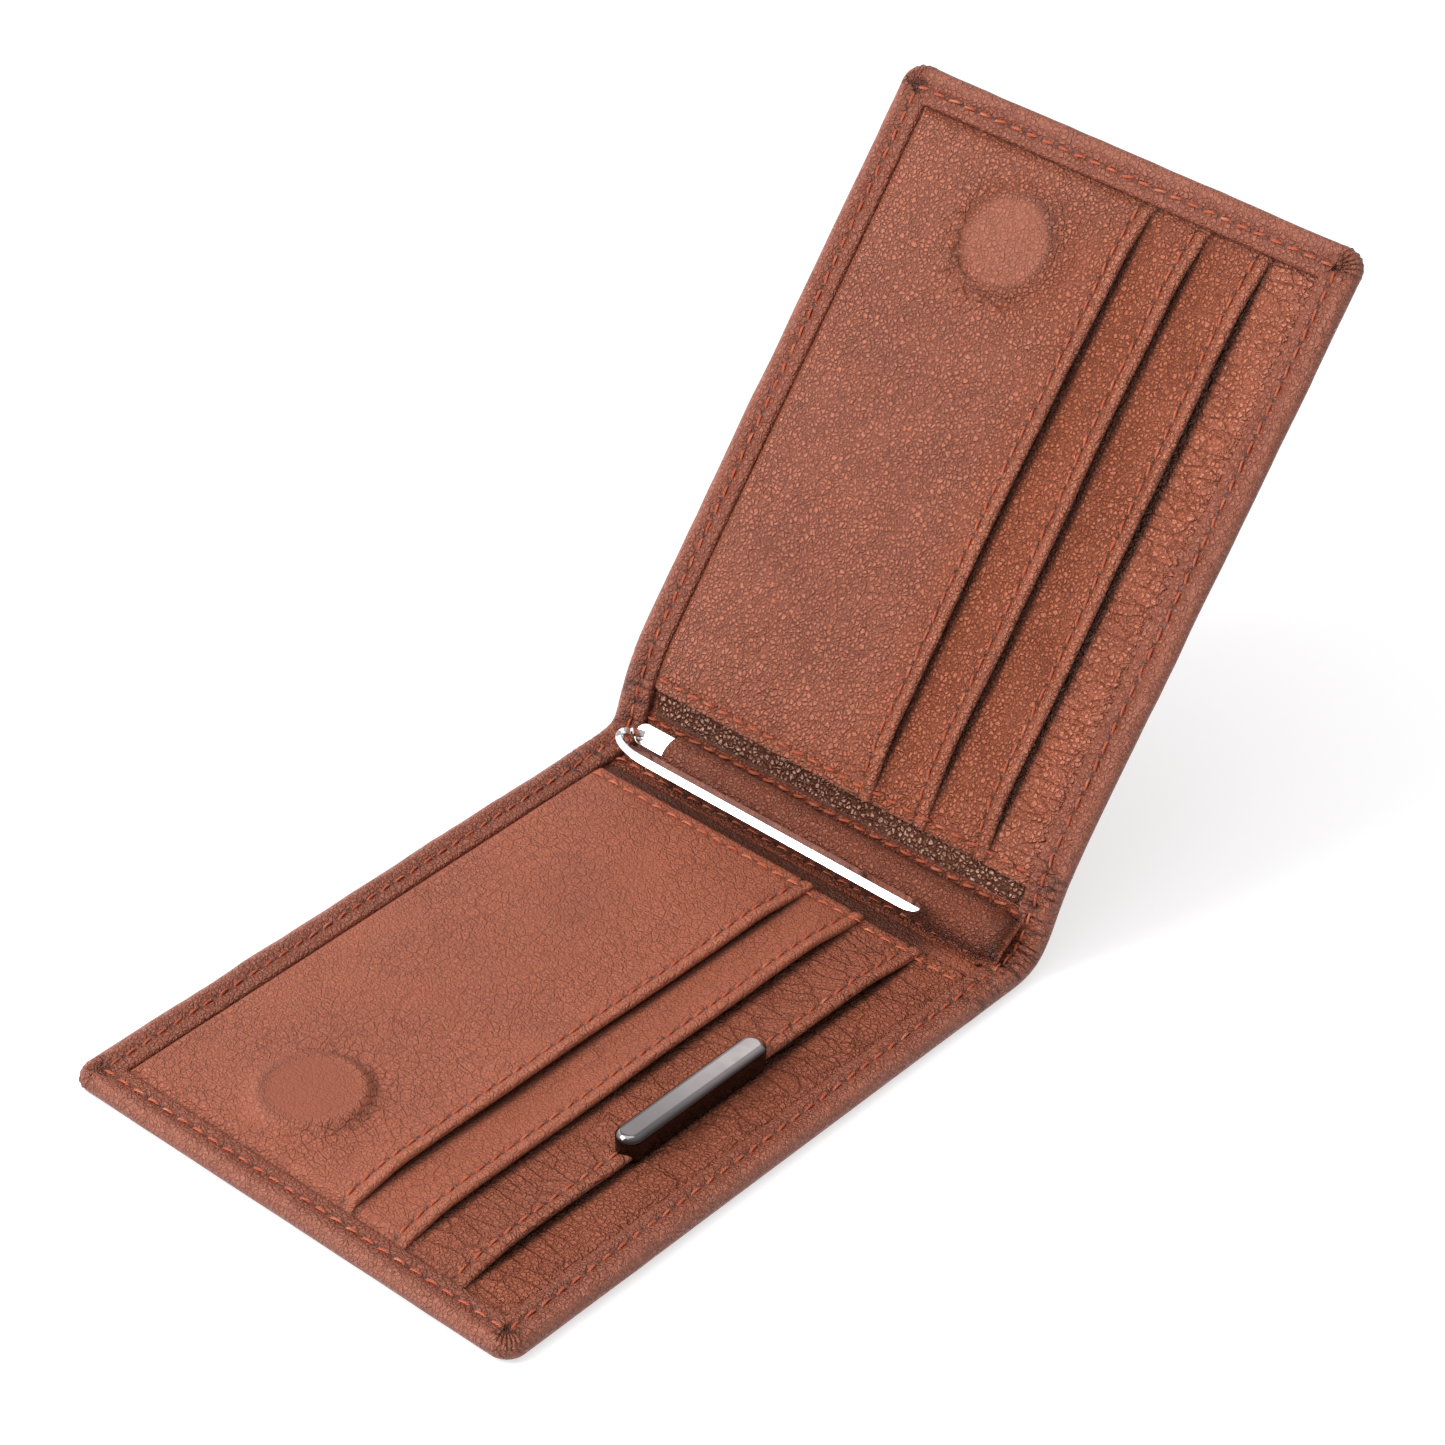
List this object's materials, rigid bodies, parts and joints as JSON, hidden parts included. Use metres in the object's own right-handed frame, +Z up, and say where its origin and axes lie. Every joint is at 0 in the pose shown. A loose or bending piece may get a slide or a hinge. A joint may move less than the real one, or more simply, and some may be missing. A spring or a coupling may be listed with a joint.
{
  "type": "bifold wallet",
  "caption": "Leather bifold wallet with card pockets on both panels, magnetic closure and a spring money clip in a sleeve along the fold.",
  "frame": {"origin": "centre of the lower panel's flat underside, which rests on the table", "axes": "+X across the fold from the lower panel towards the upper panel, +Y along the fold, +Z up"},
  "size_m": [0.1812, 0.085, 0.0932],
  "materials": {
    "outer_leather": "pebbled, semi-matt",
    "inner_leather": "fine grain, semi-matt",
    "spine_lining_leather": "coarse grain, glossy",
    "board": "matt fibreboard",
    "thread": "waxed polyester",
    "magnet_steel": "nickel plated",
    "clip_chrome": "polished",
    "bar_gunmetal": "polished black nickel"
  },
  "bodies": {
    "lower_panel": {"lower_outer_cover": "outer_leather", "lower_stiffener_board": "board", "lower_back_panel": "inner_leather", "lower_card_pocket_1": "inner_leather", "lower_card_pocket_2": "inner_leather", "lower_card_pocket_3": "inner_leather", "lower_magnet": "magnet_steel", "lower_border_thread": "thread", "lower_pocket_side_thread": "thread", "lower_pocket_thread_1": "thread", "lower_pocket_thread_2": "thread", "lower_pocket_thread_3": "thread", "lower_name_bar": "bar_gunmetal"},
    "spine": {"spine_outer_cover": "outer_leather", "spine_lining": "spine_lining_leather", "clip_sleeve": "inner_leather", "sleeve_thread_lower": "thread", "sleeve_thread_upper": "thread", "spine_border_thread_left": "thread", "spine_border_thread_right": "thread", "clip_base": "clip_chrome"},
    "upper_panel": {"upper_outer_cover": "outer_leather", "upper_stiffener_board": "board", "upper_back_panel": "inner_leather", "upper_card_pocket_1": "inner_leather", "upper_card_pocket_2": "inner_leather", "upper_card_pocket_3": "inner_leather", "upper_magnet": "magnet_steel", "upper_border_thread": "thread", "upper_pocket_side_thread": "thread", "upper_pocket_thread_1": "thread", "upper_pocket_thread_2": "thread", "upper_pocket_thread_3": "thread"},
    "clip_arm": {"clip_arm": "clip_chrome"}
  },
  "joints": [
    {"name": "lower_crease", "type": "hinge", "parent": "lower_panel", "child": "spine", "pos_m": [0.05275, 0, 0.0008], "axis": [0, -1, 0], "range_deg": [-41.8, 42.2]},
    {"name": "upper_crease", "type": "hinge", "parent": "spine", "child": "upper_panel", "pos_m": [0.06222, 0, 0.00927], "axis": [0, -1, 0], "range_deg": [-9.7, 89.3]},
    {"name": "clip_flex", "type": "hinge", "parent": "spine", "child": "clip_arm", "pos_m": [0.05428, 0.03525, 0.00719], "axis": [-0.7455, 0, -0.6665], "range_deg": [0, 8], "stiffness_Nm_per_rad": 0.4, "springref_deg": -2.86}
  ]
}
